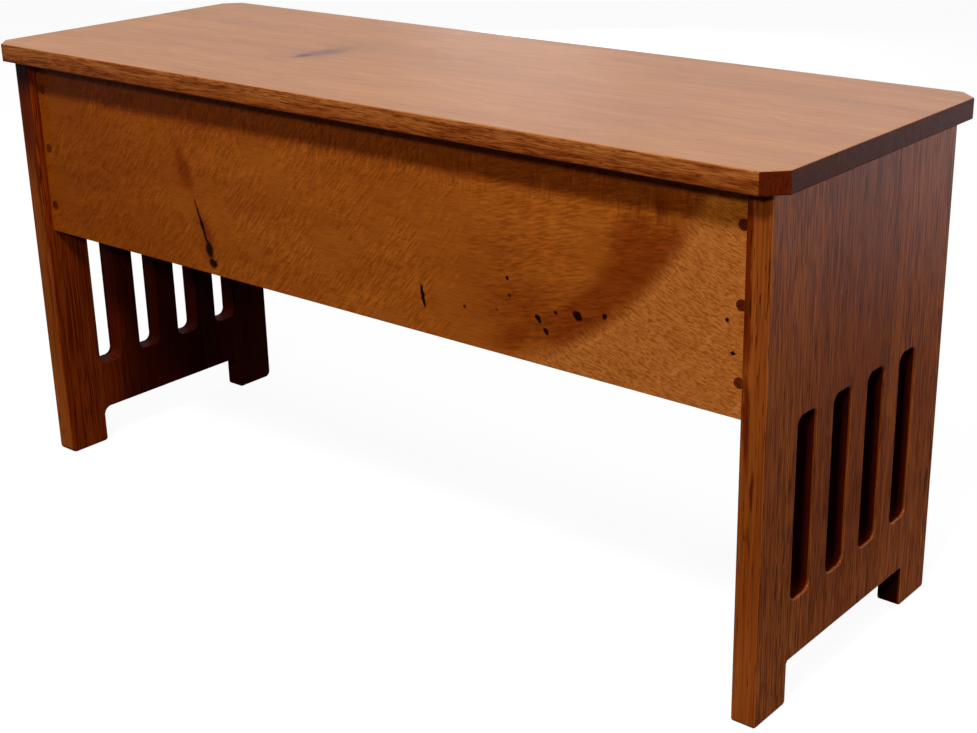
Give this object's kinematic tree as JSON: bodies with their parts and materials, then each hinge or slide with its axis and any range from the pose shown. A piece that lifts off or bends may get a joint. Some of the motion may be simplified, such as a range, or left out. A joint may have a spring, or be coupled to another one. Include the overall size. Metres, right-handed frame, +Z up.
{
  "type": "storage bench",
  "caption": "Backless mission-style oak storage bench: hinged seat with clipped corners over a box between slotted end panels on arched feet.",
  "frame": {"origin": "on the floor, under the middle of the seat lid", "axes": "+X along the seat to the right as seen from the front, +Y from the front to the hinged back, +Z up"},
  "size_m": [0.927, 0.327, 0.457],
  "materials": {
    "lid_oak": "stained oak, satin lacquer, light on top",
    "panel_oak": "stained plain-sawn oak, satin lacquer",
    "board_oak": "stained quarter-sawn oak with knots, satin lacquer",
    "plug_oak": "stained end-grain oak, satin lacquer",
    "cleat_oak": "planed oak, clear lacquer",
    "floor_plywood": "oak-faced plywood, clear lacquer",
    "hinge_brass": "satin brass, slightly tarnished",
    "hinge_screw_brass": "turned brass",
    "screw_steel": "bright zinc-plated steel"
  },
  "bodies": {
    "root": {"back_board": "board_oak", "back_board_screws": "screw_steel", "back_floor_cleat": "cleat_oak", "back_leaf_screws": "hinge_screw_brass", "back_left_corner_cleat": "cleat_oak", "back_plugs": "plug_oak", "back_right_corner_cleat": "cleat_oak", "box_floor": "floor_plywood", "corner_cleat_screws": "screw_steel", "floor_cleat_screws": "screw_steel", "front_board": "board_oak", "front_board_screws": "screw_steel", "front_floor_cleat": "cleat_oak", "front_left_corner_cleat": "cleat_oak", "front_plugs": "plug_oak", "front_right_corner_cleat": "cleat_oak", "left_end_panel": "panel_oak", "left_floor_cleat": "cleat_oak", "left_hinge_back_leaf": "hinge_brass", "left_hinge_pin": "hinge_brass", "right_end_panel": "panel_oak", "right_floor_cleat": "cleat_oak", "right_hinge_back_leaf": "hinge_brass", "right_hinge_pin": "hinge_brass"},
    "seat_lid": {"lid": "lid_oak", "left_lid_batten": "cleat_oak", "right_lid_batten": "cleat_oak", "batten_screws": "screw_steel", "left_hinge_lid_leaf": "hinge_brass", "right_hinge_lid_leaf": "hinge_brass", "lid_leaf_screws": "hinge_screw_brass"}
  },
  "joints": [
    {"name": "lid_hinge", "type": "hinge", "parent": "root", "child": "seat_lid", "pos_m": [0, 0.1501, 0.4349], "axis": [-1, 0, 0], "range_deg": [0, 110]}
  ]
}
